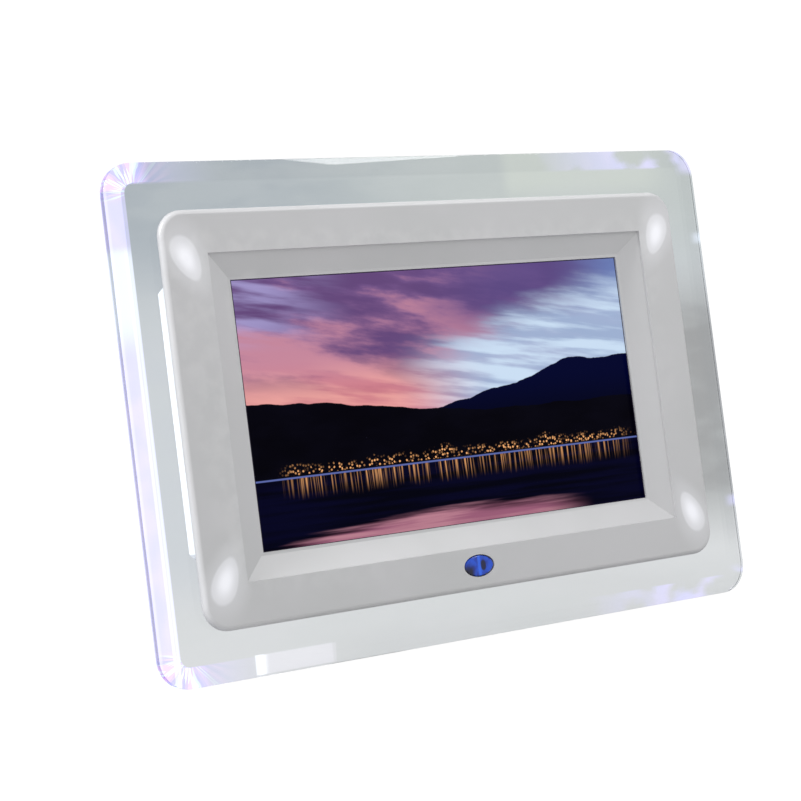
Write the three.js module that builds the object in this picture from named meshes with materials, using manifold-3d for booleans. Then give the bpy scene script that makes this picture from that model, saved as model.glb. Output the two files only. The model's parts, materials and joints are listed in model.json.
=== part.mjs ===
// A free-standing digital photo frame with an edge-lit clear surround.
// Everything is in millimetres and stands on Z = 0, with the screen facing -Y.
//
// The pieces are laid out in the panel's own frame: x to the viewer's right, y up the
// face, z out towards the viewer. z = 0 is the front edge of the screen opening.

import * as THREE from 'three';
import { mergeVertices } from 'three/addons/utils/BufferGeometryUtils.js';
import Module from 'manifold-3d';

const wasm = await Module();
wasm.setup();

// ---------------------------------------------------------------- driving dimensions

const gap = 0.3; // clear space between pieces that touch
const wall = 2; // plastic wall thickness

const lean = THREE.MathUtils.degToRad(13.6); // how far the panel leans back
const legTilt = THREE.MathUtils.degToRad(22); // the leg's angle from upright when open

const screen = { width: 154, height: 86.6 }; // visible picture, 16:9
const slope = { width: 8.65, height: 8.25, depth: 4.4 }; // sloping border round the picture
const bezel = { width: 202.8, height: 131.2, radius: 8.5, front: slope.depth, round: 1.1 };
const collar = { width: 181, height: 110, radius: 5, back: -0.6 }; // bezel part in the plate
const plate = { width: 233.6, height: 162.6, front: 2, thick: 4, bevel: 6.5, bevelDepth: 1 };
const plateWindow = { width: 184, height: 113, radius: 6 };

const cover = {
  width: 190, height: 124, radius: 10, // rim that clamps the plate
  bayWidth: 198.6, bayHeight: 82, // shallow bays on the left and right sides
  front: plate.front - plate.thick - gap, shelf: -8, back: -24,
  boxWidth: 168, boxHeight: 98, boxRadius: 12, boxBevel: 3,
};

const lcd = { width: 165, height: 100, front: collar.back - gap, back: -5.6, skin: 0.4 };
const board = { left: -22, right: 80, bottom: -24, top: 42, front: -12, thick: 1.6 };
const keyBoard = { left: -76, right: -40, bottom: -17, top: 44, back: -16, thick: 1.4 };

const irBay = { x: 0, y: -57.6, halfWidth: 6, halfHeight: 3.7 }; // receiver's oval window
const boss = { x: 86.5, y: 52, radius: 3 }; // case screw bosses, mirrored to four corners
const light = { x: 86.2, y: 44 }; // corner lights, mirrored to four corners

const hinge = { y: 24, z: -23.6, barrel: 2.9, pin: 1.25, halfWidth: 20 };
const leg = { footHalfWidth: 15, thick: 3, inner: 2.4, padHeight: 2 };
const recess = { halfWidth: 26, top: 31, floor: -20.5 };

const keyRadius = 4;
const keySpacing = 11;
const keyPad = { x: -58, y: 15 };
const keys = [
  { name: 'key_up', x: keyPad.x, y: keyPad.y + keySpacing },
  { name: 'key_down', x: keyPad.x, y: keyPad.y - keySpacing },
  { name: 'key_left', x: keyPad.x + keySpacing, y: keyPad.y },
  { name: 'key_right', x: keyPad.x - keySpacing, y: keyPad.y },
  { name: 'key_enter', x: keyPad.x, y: keyPad.y },
  { name: 'key_power', x: keyPad.x - keySpacing, y: keyPad.y + 2 * keySpacing },
  { name: 'key_menu', x: keyPad.x + keySpacing, y: keyPad.y + 2 * keySpacing },
];

const lightSwitch = { x: -58, y: -11, travel: 3 };
const speakers = [
  { name: 'speaker_left', x: -58, y: -33.3 },
  { name: 'speaker_right', x: 58, y: -33.3 },
];
const posts = [[-17, 37], [50, 37], [-17, -19], [62, -19]]; // board posts, by x and y
const corners = [['top_left', -1, 1], ['top_right', 1, 1], ['bottom_left', -1, -1], ['bottom_right', 1, -1]];

// Sockets in the right-hand wall: middle height, width up the wall, depth off the board.
const sockets = {
  card: { y: 26, width: 28, rise: 3.5, length: 25.7 },
  usb: { y: 3, width: 13.2, rise: 5.8, length: 14 },
  miniUsb: { y: -9.3, width: 7.8, rise: 4, length: 9 },
  power: { y: -18.8, width: 8, rise: 6.4, length: 12.5 },
};
const socketFace = cover.boxWidth / 2 - gap;
const boardBack = board.front - board.thick;

// ---------------------------------------------------------------- shape helpers

function solidFrom(geometry) {
  geometry.deleteAttribute('normal');
  geometry.deleteAttribute('uv');
  const merged = mergeVertices(geometry, 1e-4);
  return new wasm.Manifold(new wasm.Mesh({
    numProp: 3,
    vertProperties: merged.attributes.position.array,
    triVerts: merged.index.array,
  }));
}

function roundedRect(width, height, radius) {
  const x = width / 2 - radius;
  const y = height / 2 - radius;
  const shape = new THREE.Shape();
  shape.absarc(x, y, radius, 0, Math.PI / 2);
  shape.absarc(-x, y, radius, Math.PI / 2, Math.PI);
  shape.absarc(-x, -y, radius, Math.PI, 1.5 * Math.PI);
  shape.absarc(x, -y, radius, 1.5 * Math.PI, 2 * Math.PI);
  shape.closePath();
  return shape;
}

function ellipse(x, y, halfWidth, halfHeight) {
  return new THREE.Shape().absellipse(x, y, halfWidth, halfHeight, 0, 2 * Math.PI);
}

function polygon(points) {
  return new THREE.Shape(points.map(([x, y]) => new THREE.Vector2(x, y)));
}

function prism(outline, back, front, curveSegments = 4) {
  const geometry = new THREE.ExtrudeGeometry(outline, { depth: front - back, bevelEnabled: false, curveSegments });
  return solidFrom(geometry.translate(0, 0, back));
}

// A prism whose outline grows by `size` over `depth` behind its front face.
function bevelledPrism(outline, back, front, size, depth, bevelSegments = 1, curveSegments = 4) {
  const geometry = new THREE.ExtrudeGeometry(outline, {
    depth: front - back, bevelEnabled: true, bevelSize: size, bevelThickness: depth, bevelSegments, curveSegments,
  });
  const whole = solidFrom(geometry.translate(0, 0, back - depth));
  return whole.subtract(block([-500, 500], [-500, 500], [back - 2 * depth - 1, back]));
}

// The same prism turned to face backwards.
function bevelledBack(outline, back, front, size, depth, bevelSegments, curveSegments) {
  return bevelledPrism(outline, -front, -back, size, depth, bevelSegments, curveSegments).mirror([0, 0, 1]);
}

function block([x0, x1], [y0, y1], [z0, z1]) {
  const geometry = new THREE.BoxGeometry(x1 - x0, y1 - y0, z1 - z0);
  return solidFrom(geometry.translate((x0 + x1) / 2, (y0 + y1) / 2, (z0 + z1) / 2));
}

function rod(radius, x, y, [z0, z1], sides = 20) {
  const geometry = new THREE.CylinderGeometry(radius, radius, z1 - z0, sides);
  return solidFrom(geometry.rotateX(Math.PI / 2).translate(x, y, (z0 + z1) / 2));
}

function rodAlongX(radius, [x0, x1], y, z, sides = 20) {
  const geometry = new THREE.CylinderGeometry(radius, radius, x1 - x0, sides);
  return solidFrom(geometry.rotateZ(Math.PI / 2).translate((x0 + x1) / 2, y, z));
}

// A side profile of [y, z] points carried along x.
function profileAlongX(points, [x0, x1]) {
  const geometry = new THREE.ExtrudeGeometry(polygon(points), { depth: x1 - x0, bevelEnabled: false });
  const turn = new THREE.Matrix4().makeBasis(
    new THREE.Vector3(0, 1, 0),
    new THREE.Vector3(0, 0, 1),
    new THREE.Vector3(1, 0, 0),
  );
  return solidFrom(geometry.applyMatrix4(turn).translate(x0, 0, 0));
}

function joined(...solids) {
  return solids.reduce((whole, extra) => whole.add(extra));
}

function cut(solid, ...tools) {
  return tools.reduce((rest, tool) => rest.subtract(tool), solid);
}

function addPiece(parent, name, solid, material) {
  const { vertProperties, triVerts } = solid.getMesh();
  const geometry = new THREE.BufferGeometry();
  geometry.setAttribute('position', new THREE.BufferAttribute(vertProperties, 3));
  geometry.setIndex(new THREE.BufferAttribute(triVerts, 1));
  geometry.computeVertexNormals();
  const mesh = new THREE.Mesh(geometry, material);
  mesh.name = name;
  parent.add(mesh);
}

// ---------------------------------------------------------------- materials

function finish(color, roughness, metalness = 0) {
  return new THREE.MeshStandardMaterial({ color, roughness, metalness });
}

const whitePlastic = () => finish(0xd4d4d6, 0.4);
const clearAcrylic = () => finish(0xc4d0dc, 0.08);
const blueAcrylic = () => finish(0x1a34b8, 0.15);
const darkGlass = () => finish(0x2a2038, 0.15);
const steel = () => finish(0xa8abad, 0.35, 0.9);
const blackPlastic = () => finish(0x1c1c1e, 0.5);
const greenBoard = () => finish(0x1f6b3a, 0.5);
const whiteFilm = () => finish(0xf0f0ec, 0.6);
const copper = () => finish(0xb06a3a, 0.4, 0.7);
const greyRubber = () => finish(0x8c8c8e, 0.85);
const lampResin = () => finish(0xdfe2ff, 0.2);

// ---------------------------------------------------------------- front pieces

function makePlate() {
  const face = roundedRect(plate.width - 2 * plate.bevel, plate.height - 2 * plate.bevel, 3.5);
  const back = plate.front - plate.thick;
  const sheet = bevelledPrism(face, back, plate.front, plate.bevel, plate.bevelDepth, 1, 6);
  const opening = prism(
    roundedRect(plateWindow.width, plateWindow.height, plateWindow.radius), back - 1, plate.front + 1,
  );
  const receiverNotch = block([-8, 8], [-62.2, -50], [back - 1, plate.front + 1]);
  return cut(sheet, opening, receiverNotch);
}

function makeBezel() {
  const slabBack = plate.front + gap;
  const slabFace = roundedRect(
    bezel.width - 2 * bezel.round, bezel.height - 2 * bezel.round, bezel.radius - bezel.round,
  );
  const slab = bevelledPrism(slabFace, slabBack, bezel.front, bezel.round, bezel.round, 3, 5);
  const neck = prism(roundedRect(collar.width, collar.height, collar.radius), collar.back, slabBack + 1);

  const picture = polygon([
    [-screen.width / 2, -screen.height / 2], [screen.width / 2, -screen.height / 2],
    [screen.width / 2, screen.height / 2], [-screen.width / 2, screen.height / 2],
  ]);
  const funnel = bevelledBack(picture, 0, 10, slope.width, slope.depth);
  const throughHole = prism(picture, collar.back - 1, 1);

  const pocketFront = slabBack;
  const pocketOuter = prism(roundedRect(178, 107, 4), collar.back - 1, pocketFront);
  const pocketCore = prism(roundedRect(167, 99.6, 1), collar.back - 2, pocketFront + 1);
  const pocket = pocketOuter.subtract(pocketCore);
  const receiverBay = block([-7.4, 7.4], [-62, -51], [collar.back - 1, slabBack]);
  const lensHole = prism(
    ellipse(irBay.x, irBay.y, irBay.halfWidth, irBay.halfHeight), 0, bezel.front + 1, 12,
  );

  const bosses = corners.map(([, sx, sy]) => (
    rod(boss.radius, sx * boss.x, sy * boss.y, [cover.shelf + wall + gap, slabBack + 0.5])
  ));
  const pilotHoles = corners.map(([, sx, sy]) => (
    rod(1.3, sx * boss.x, sy * boss.y, [cover.shelf, 1], 12)
  ));
  const shell = cut(joined(slab, neck), funnel, throughHole, pocket, receiverBay, lensHole);
  return cut(joined(shell, ...bosses), ...pilotHoles);
}

function makeReceiverWindow() {
  const plug = prism(
    ellipse(irBay.x, irBay.y, irBay.halfWidth - gap, irBay.halfHeight - gap), 1.5, bezel.front - 0.1, 12,
  );
  const flange = prism(ellipse(irBay.x, irBay.y, irBay.halfWidth + 0.8, irBay.halfHeight + 0.5), 0.8, plate.front, 12);
  return joined(plug, flange);
}

function addReceiver(panel) {
  const body = block([-2.8, 2.8], [-59.6, -53.6], [-3.6, -0.8]);
  const dome = solidFrom(new THREE.SphereGeometry(2.1, 14, 10).translate(0, -57, -1.6));
  addPiece(panel, 'ir_receiver', joined(body, dome), blackPlastic());
  addPiece(panel, 'ir_board', block([-7, 7], [-59.5, -52], [-5, -4]), greenBoard());
}

// ---------------------------------------------------------------- screen module

function addScreen(panel) {
  const halfX = lcd.width / 2;
  const halfY = lcd.height / 2;
  const skin = 0.7;
  const inside = { x: halfX - skin, y: halfY - skin };
  const body = block([-halfX, halfX], [-halfY, halfY], [lcd.back, lcd.front]);
  const hollow = block([-inside.x, inside.x], [-inside.y, inside.y], [lcd.back - 1, lcd.front - lcd.skin]);
  const view = block(
    [-screen.width / 2 - 1.2, screen.width / 2 + 1.2],
    [-screen.height / 2 - 1.2, screen.height / 2 + 1.2],
    [lcd.back, lcd.front + 1],
  );
  addPiece(panel, 'lcd_frame', cut(body, hollow, view), steel());

  const layerX = [-inside.x + gap, inside.x - gap];
  const layerY = [-inside.y + gap, inside.y - gap];
  const glassFront = lcd.front - lcd.skin - gap;
  const glassBack = glassFront - 1;
  const lampFront = glassBack - gap;
  const lampBack = lampFront - 1.8;
  const trayFront = lampBack - gap;
  addPiece(panel, 'lcd_glass', block(layerX, layerY, [glassBack, glassFront]), darkGlass());
  addPiece(panel, 'lcd_backlight', block(layerX, layerY, [lampBack, lampFront]), whiteFilm());
  addPiece(panel, 'lcd_back_plate', block(layerX, layerY, [trayFront - 0.4, trayFront]), steel());
}

// ---------------------------------------------------------------- main board and its parts

function addBoard(panel) {
  const sheet = block([board.left, board.right], [board.bottom, board.top], [boardBack, board.front]);
  const holes = posts.map(([x, y]) => rod(1.6, x, y, [boardBack - 1, board.front + 1], 12));
  addPiece(panel, 'main_board', cut(sheet, ...holes), greenBoard());

  const seat = board.front + gap;
  addPiece(panel, 'processor_chip', block([8, 28], [6, 26], [seat, seat + 1.5]), blackPlastic());
  addPiece(panel, 'memory_chip', block([34, 52], [10, 19], [seat, seat + 1.1]), blackPlastic());
  addPiece(panel, 'timing_crystal', block([12, 23], [31, 35.5], [seat, seat + 2.8]), steel());
  addPiece(panel, 'power_coil', makeCoil(66, 0, seat), copper());

  posts.forEach(([x, y], index) => {
    const head = rod(2.6, x, y, [seat, seat + 1.5], 16);
    const shank = rod(0.8, x, y, [seat - 6, seat + 0.5], 10);
    addPiece(panel, `board_screw_${index + 1}`, joined(head, shank), steel());
  });
}

function makeCoil(x, y, seat) {
  const foot = block([x - 4.5, x + 4.5], [y - 4.5, y + 4.5], [seat, seat + 0.8]);
  const drum = rod(3.6, x, y, [seat + 0.5, seat + 2.6], 16);
  const top = rod(4.4, x, y, [seat + 2.4, seat + 3.2], 16);
  return joined(foot, drum, top);
}

function addFlatCable(panel) {
  const seat = board.front + gap;
  const connector = block([5, 35], [-20.5, -15.5], [seat, seat + 1.8]);
  addPiece(panel, 'lcd_connector', connector, whiteFilm());
  const top = [[-44, -8], [-28, -8], [-25, -8.6], [-23.5, -10], [-20.8, -10.6]];
  const under = top.map(([y, z]) => [y, z - gap]).reverse();
  addPiece(panel, 'lcd_flat_cable', profileAlongX([...top, ...under].reverse(), [7, 33]), copper());
}

// ---------------------------------------------------------------- sockets in the side wall

function socketBody({ y, width, rise, length }) {
  return block(
    [socketFace - length, socketFace], [y - width / 2, y + width / 2], [boardBack - gap - rise, boardBack - gap],
  );
}

function socketMouth({ y, width, rise }, skin, depth) {
  const front = boardBack - gap;
  return block(
    [socketFace - depth, socketFace + 1],
    [y - width / 2 + skin, y + width / 2 - skin],
    [front - rise + skin, front - skin],
  );
}

function tongue({ y, width, rise }, inset, thick, length) {
  const middle = boardBack - gap - rise / 2;
  return block(
    [socketFace - length - 3, socketFace - 1.5],
    [y - width / 2 + inset, y + width / 2 - inset],
    [middle - thick / 2, middle + thick / 2],
  );
}

function addSockets(panel) {
  const { card, usb, miniUsb, power } = sockets;
  addPiece(panel, 'card_slot', cut(socketBody(card), socketMouth(card, 0.6, 22)), steel());
  const usbShell = cut(socketBody(usb), socketMouth(usb, 0.4, 11));
  addPiece(panel, 'usb_socket', joined(usbShell, tongue(usb, 1.2, 1.9, 9)), steel());
  const miniShell = cut(socketBody(miniUsb), socketMouth(miniUsb, 0.5, 6.5));
  addPiece(panel, 'mini_usb_socket', joined(miniShell, tongue(miniUsb, 1.6, 0.8, 5)), steel());

  const middle = boardBack - gap - power.rise / 2;
  const bore = rodAlongX(2.1, [socketFace - 10, socketFace + 1], power.y, middle);
  const pin = rodAlongX(0.7, [socketFace - 11, socketFace - 1.5], power.y, middle, 10);
  addPiece(panel, 'power_jack', joined(cut(socketBody(power), bore), pin), blackPlastic());
}

function socketHoles() {
  return Object.values(sockets).map(({ y, width, rise }) => block(
    [cover.boxWidth / 2 - wall - 1, cover.boxWidth / 2 + 1],
    [y - width / 2 - gap, y + width / 2 + gap],
    [boardBack - gap - rise - gap, boardBack],
  ));
}

// ---------------------------------------------------------------- rear cover

function coverOutline(inset) {
  const rim = roundedRect(cover.width - 2 * inset, cover.height - 2 * inset, cover.radius - inset);
  const side = cover.bayWidth / 2 - inset;
  const end = cover.bayHeight / 2;
  const run = 8; // how far each 45 degree end reaches in under the rim
  const bays = polygon([
    [side, -end], [side, end], [side - run, end + run], [-side + run, end + run],
    [-side, end], [-side, -end], [-side + run, -end - run], [side - run, -end - run],
  ]);
  return { rim, bays };
}

function coverRim(inset, back, front) {
  const { rim, bays } = coverOutline(inset);
  return joined(prism(rim, back, front, 5), prism(bays, back, front));
}

function coverBox(inset, back, front) {
  const size = cover.boxBevel;
  const outline = roundedRect(
    cover.boxWidth - 2 * (inset + size), cover.boxHeight - 2 * (inset + size), cover.boxRadius - inset - size,
  );
  return bevelledBack(outline, back, front, size, size, 2, 5);
}

function slots(count, pitch, width, length, x, y) {
  return Array.from({ length: count }, (_, index) => {
    const middle = x + (index - (count - 1) / 2) * pitch;
    return block([middle - width / 2, middle + width / 2], [y - length / 2, y + length / 2], [cover.back - 1, cover.back + wall + 1]);
  });
}

function makeRearCover() {
  const shell = cut(
    joined(coverRim(0, cover.shelf, cover.front), coverBox(0, cover.back, cover.shelf + 1)),
    coverRim(wall, cover.shelf + wall, cover.front + 1),
    coverBox(wall, cover.back + wall, cover.shelf + wall + 1),
  );
  const halfBox = cover.boxHeight / 2;
  const recessShell = block(
    [-recess.halfWidth - wall, recess.halfWidth + wall], [-halfBox + 1, recess.top + wall],
    [cover.back + 1, recess.floor + wall],
  );
  const recessSpace = block(
    [-recess.halfWidth, recess.halfWidth], [-halfBox - 1, recess.top], [cover.back - 1, recess.floor],
  );
  const boardPosts = posts.map(([x, y]) => rod(3, x, y, [cover.back + 1, boardBack - gap]));
  const postHoles = posts.map(([x, y]) => rod(1.1, x, y, [boardBack - 5, boardBack], 12));

  const closed = cut(joined(shell, recessShell, ...boardPosts), recessSpace, ...postHoles);
  const keyHoles = keys.map(({ x, y }) => rod(keyRadius + gap, x, y, [cover.back - 1, cover.back + wall + 1], 24));
  const switchSlot = block(
    [lightSwitch.x - 4.6, lightSwitch.x + 4.6], [lightSwitch.y - 1.8, lightSwitch.y + 1.8],
    [cover.back - 1, cover.back + wall + 1],
  );
  const screwHoles = corners.map(([, sx, sy]) => (
    rod(1.4, sx * boss.x, sy * boss.y, [cover.shelf - 1, cover.shelf + wall + 1], 12)
  ));
  const grilles = speakers.flatMap(({ x, y }) => slots(6, 3.4, 1.5, 14, x, y));
  const vents = slots(7, 4.2, 1.6, 24, 54, 14);
  return joined(
    cut(closed, ...keyHoles, switchSlot, ...screwHoles, ...grilles, ...vents, ...socketHoles()),
    ...hingeLugs(),
  );
}

// Two lugs at the top of the recess, each with a blind hole for the hinge pin.
function hingeLugs() {
  const inner = hinge.halfWidth + gap;
  return [-1, 1].map((side) => {
    const span = side > 0 ? [inner, recess.halfWidth + 0.5] : [-recess.halfWidth - 0.5, -inner];
    const eye = rodAlongX(hinge.barrel + 0.3, span, hinge.y, hinge.z);
    const web = block(span, [hinge.y - 3, hinge.y + 3], [hinge.z, recess.floor + 0.5]);
    const hole = rodAlongX(hinge.pin + gap, side > 0 ? [inner - 1, 25] : [-25, -inner + 1], hinge.y, hinge.z);
    return cut(joined(eye, web), hole);
  });
}

// ---------------------------------------------------------------- keys and light switch

function addKeys(panel) {
  const boardFront = keyBoard.back + keyBoard.thick;
  const sheet = block([keyBoard.left, keyBoard.right], [keyBoard.bottom, keyBoard.top], [keyBoard.back, boardFront]);
  addPiece(panel, 'key_board', sheet, greenBoard());

  const flangeFront = cover.back + wall + gap + 1;
  keys.forEach(({ name, x, y }) => {
    const cap = rod(keyRadius, x, y, [cover.back - 1, flangeFront - 0.5], 24);
    const flange = rod(keyRadius + 1, x, y, [flangeFront - 1, flangeFront], 24);
    addPiece(panel, name, joined(cap, flange), whitePlastic());

    const seat = keyBoard.back - gap;
    const body = block([x - 3, x + 3], [y - 3, y + 3], [seat - 3.2, seat]);
    const plunger = rod(1.7, x, y, [seat - 3.7, seat - 1], 12);
    addPiece(panel, name.replace('key_', 'contact_'), joined(body, plunger), blackPlastic());
  });
}

function addLightSwitch(panel) {
  const { x, y, travel } = lightSwitch;
  const seat = keyBoard.back - gap;
  addPiece(panel, 'light_switch', block([x - 4.5, x + 4.5], [y - 2.5, y + 2.5], [seat - 3.6, seat]), steel());

  const knobX = x - travel / 2;
  const base = seat - 3.6 - gap;
  const wallInside = cover.back + wall;
  const slider = block([knobX - 7, knobX + 7], [y - 2.6, y + 2.6], [wallInside + gap, base]);
  const knob = block([knobX - 1.5, knobX + 1.5], [y - 1.5, y + 1.5], [cover.back - 1.2, base]);
  addPiece(panel, 'light_switch_knob', joined(slider, knob), blackPlastic());
}

function addKeyCable(panel) {
  const under = board.left - gap;
  const level = keyBoard.back + keyBoard.thick + gap;
  const strip = block([keyBoard.right - 5, under], [18, 26], [level, level + 0.3]);
  addPiece(panel, 'key_cable', strip, copper());
}

// ---------------------------------------------------------------- speakers and corner lights

function makeSpeaker(x, y) {
  const face = cover.back + wall + gap;
  const frame = prism(roundedRect(34, 20, 5), face, face + 1.2);
  const basket = prism(ellipse(0, 0, 14, 8), face + 1, face + 3.6, 10);
  const magnet = rod(6, 0, 0, [face + 3, face + 5.5]);
  const cone = solidFrom(new THREE.CylinderGeometry(7, 3, 2.2, 20).rotateX(-Math.PI / 2).translate(0, 0, face + 1.1));
  return joined(frame, basket, magnet).subtract(cone).translate([x, y, 0]);
}

function addCornerLights(panel) {
  corners.forEach(([corner, sx, sy]) => {
    const x = sx * light.x;
    const y = sy * light.y;
    const lamp = block([x - 2, x + 2], [y - 2, y + 2], [-4, -0.8]);
    const lens = rod(1.6, x, y, [-1.5, 1.4], 16);
    addPiece(panel, `light_${corner}`, joined(lamp, lens), lampResin());
    const strip = block([x - 2.5, x + 2.5], [y - sy * 4 - 8, y - sy * 4 + 8], [-5.3, -4.3]);
    addPiece(panel, `light_board_${corner}`, strip, greenBoard());
  });
}

function addCaseScrews(panel) {
  const seat = cover.shelf - gap;
  corners.forEach(([corner, sx, sy]) => {
    const head = rod(2.6, sx * boss.x, sy * boss.y, [seat - 1.6, seat], 18);
    const shank = rod(1, sx * boss.x, sy * boss.y, [seat - 0.5, 0], 10);
    addPiece(panel, `case_screw_${corner}`, joined(head, shank), steel());
  });
}

// ---------------------------------------------------------------- folding leg

// The leg is drawn in its own frame: the pin is its x axis and the leg runs down -y.
// In that frame a point's height above the table is pinHeight + y cos(tilt) - z sin(tilt).
function legPointAt(height, z, pinHeight) {
  return [(height - pinHeight + z * Math.sin(legTilt)) / Math.cos(legTilt), z];
}

function addLeg(panel, pinHeight) {
  const frame = new THREE.Group();
  frame.position.set(0, hinge.y, hinge.z);
  frame.rotation.x = lean + legTilt;
  panel.add(frame);

  const back = leg.inner - leg.thick;
  const reach = pinHeight / Math.cos(legTilt) + 5;
  const top = hinge.halfWidth;
  const outline = polygon([[-top, 0], [-leg.footHalfWidth, -reach], [leg.footHalfWidth, -reach], [top, 0]]);
  const foot = leg.padHeight + gap;
  const belowFoot = profileAlongX([
    legPointAt(foot, back - 5, pinHeight), legPointAt(foot, leg.inner + 5, pinHeight),
    legPointAt(-30, leg.inner + 5, pinHeight), legPointAt(-30, back - 5, pinHeight),
  ].reverse(), [-50, 50]);
  const fingerPanel = prism(polygon([[-12, -12], [-9, -82], [9, -82], [12, -12]]), back - 1, back + 0.8);
  const barrel = rodAlongX(hinge.barrel, [-top, top], 0, 0);
  const bore = rodAlongX(hinge.pin + gap, [-top - 1, top + 1], 0, 0);
  const blade = cut(prism(outline, back, leg.inner), belowFoot, fingerPanel);
  addPiece(frame, 'stand_leg', cut(joined(blade, barrel), bore), whitePlastic());

  const padHalf = leg.footHalfWidth - 1;
  const pad = profileAlongX([
    legPointAt(0, back - 0.5, pinHeight), legPointAt(leg.padHeight, back - 0.5, pinHeight),
    legPointAt(leg.padHeight, leg.inner + 0.5, pinHeight), legPointAt(0, leg.inner + 0.5, pinHeight),
  ].reverse(), [-padHalf, padHalf]);
  addPiece(frame, 'foot_pad', pad, greyRubber());
}

// ---------------------------------------------------------------- assembly

// Turns the panel's frame into the standing one: x stays, y leans back, z faces the viewer.
const panel = new THREE.Group();
panel.rotation.x = Math.PI / 2 - lean;

const plateFoot = { y: -plate.height / 2, z: plate.front - plate.thick };
const heightOf = ({ y, z }) => y * Math.cos(lean) + z * Math.sin(lean);
const pinHeight = heightOf(hinge) - heightOf(plateFoot);

addPiece(panel, 'acrylic_plate', makePlate(), clearAcrylic());
addPiece(panel, 'front_bezel', makeBezel(), whitePlastic());
addPiece(panel, 'ir_window', makeReceiverWindow(), blueAcrylic());
addReceiver(panel);
addScreen(panel);
addBoard(panel);
addFlatCable(panel);
addSockets(panel);
addPiece(panel, 'rear_cover', makeRearCover(), whitePlastic());
addKeys(panel);
addKeyCable(panel);
addLightSwitch(panel);
speakers.forEach(({ name, x, y }) => addPiece(panel, name, makeSpeaker(x, y), blackPlastic()));
addCornerLights(panel);
addCaseScrews(panel);
addPiece(panel, 'stand_pin', rodAlongX(hinge.pin, [-24.6, 24.6], hinge.y, hinge.z, 16), steel());
addLeg(panel, pinHeight);

// The origin is under the middle of the whole frame, on the table.
const assembly = new THREE.Group();
assembly.add(panel);
assembly.updateMatrixWorld(true);
const bounds = new THREE.Box3().setFromObject(assembly, true);
assembly.position.set(0, -(bounds.min.y + bounds.max.y) / 2, -bounds.min.z);

export default assembly;
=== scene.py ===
"""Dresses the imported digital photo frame: a clear bevelled surround, a white bezel with
glowing corners, a lit screen, and the moulded rear housing with its keys and leg."""

import json
import math

import bmesh
import bpy
from mathutils import Matrix, Vector


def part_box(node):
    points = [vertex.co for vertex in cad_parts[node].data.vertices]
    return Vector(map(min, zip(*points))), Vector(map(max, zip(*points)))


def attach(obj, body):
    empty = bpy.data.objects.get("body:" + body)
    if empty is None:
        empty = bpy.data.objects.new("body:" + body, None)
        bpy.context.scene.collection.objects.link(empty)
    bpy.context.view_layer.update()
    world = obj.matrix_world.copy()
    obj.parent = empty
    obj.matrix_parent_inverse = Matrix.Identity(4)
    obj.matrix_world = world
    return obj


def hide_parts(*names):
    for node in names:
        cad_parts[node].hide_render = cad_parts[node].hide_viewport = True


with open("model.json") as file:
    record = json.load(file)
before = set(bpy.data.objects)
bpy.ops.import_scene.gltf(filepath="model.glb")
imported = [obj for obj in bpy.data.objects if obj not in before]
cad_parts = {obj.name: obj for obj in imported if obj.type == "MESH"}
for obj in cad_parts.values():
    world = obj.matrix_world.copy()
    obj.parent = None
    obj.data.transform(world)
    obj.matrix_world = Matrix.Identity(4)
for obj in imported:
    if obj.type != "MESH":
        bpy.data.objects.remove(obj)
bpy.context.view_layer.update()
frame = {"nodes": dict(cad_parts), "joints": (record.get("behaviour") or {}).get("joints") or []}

mm = 0.001
tiny = 1e-6  # two places closer than this are the same place


# ---------------- the panel's own frame
# x runs to the viewer's right, y up the face and z out towards the viewer. z = 0 is the
# front edge of the screen opening. Pieces are modelled in it, then stood up.

facing = next(Vector(j["axis"]) for j in frame["joints"] if j["name"] == "key_enter_press")
lean = math.atan2(facing.z, -facing.y)
glass_depth = 2.1 * mm  # the middle of the screen glass behind the opening's front edge
glass_low, glass_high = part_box("lcd_glass")
panel_origin = (glass_low + glass_high) / 2 + facing * glass_depth
panel_turn = Matrix.Rotation(math.pi / 2 - lean, 4, "X")
to_world = Matrix.Translation(panel_origin) @ panel_turn
to_panel = to_world.inverted()


def panel_box(node):
    """A CAD node's lowest and highest corners in the panel's frame."""
    places = [to_panel @ vertex.co for vertex in frame["nodes"][node].data.vertices]
    low = Vector([min(place[axis] for place in places) for axis in range(3)])
    high = Vector([max(place[axis] for place in places) for axis in range(3)])
    return low, high


# ---------------- driving dimensions

plate_low, plate_high = panel_box("acrylic_plate")
plate_bevel = 6.5 * mm  # width of the cut edge band
plate_rise = 1.0 * mm  # how far the band falls towards the rim
plate_corner = 10 * mm

window_half_x = 92 * mm  # the opening in the clear sheet, which the bezel's collar fills
window_half_y = 56.5 * mm
band_start_x = (plate_high.x - plate_bevel) / mm  # where the cut band starts, in millimetres
band_start_y = (plate_high.y - plate_bevel) / mm

bezel_low, bezel_high = panel_box("front_bezel")
bezel_back = plate_high.z + 0.3 * mm
bezel_corner = 8.5 * mm
bezel_round = 1.8 * mm

glass_corner = panel_box("lcd_glass")[1]
screen_half_x = glass_corner.x - 4.5 * mm
screen_half_y = glass_corner.y - 5.7 * mm

slope_x = 8.65 * mm  # the border between the picture and the bezel's flat band
slope_y = 8.25 * mm
step_depth = 0.6 * mm  # small wall round the outside of that border
lip = 1.0 * mm  # narrow ledge at the picture's edge
border_wall = 6.5 * mm  # how much solid plastic lies behind that border
collar_gap = 1.5 * mm  # between the clear sheet's opening and the collar
collar_wall = 1.5 * mm

screw_x = 86.5 * mm  # the case screws, and the bosses they go into
screw_y = 52 * mm

lens_low, lens_high = panel_box("ir_window")
lens_middle = (lens_low + lens_high) / 2

slots_end_x = 80.5 * mm  # the housing's slots, keys and leg recess all lie inside these
slots_end_y = 45.5 * mm
socket_wall_x = 81 * mm  # past this, and between these two depths, the side wall has its sockets
sockets_back = -20.8 * mm
sockets_front = -13 * mm


# ---------------- modelling by hand


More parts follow.
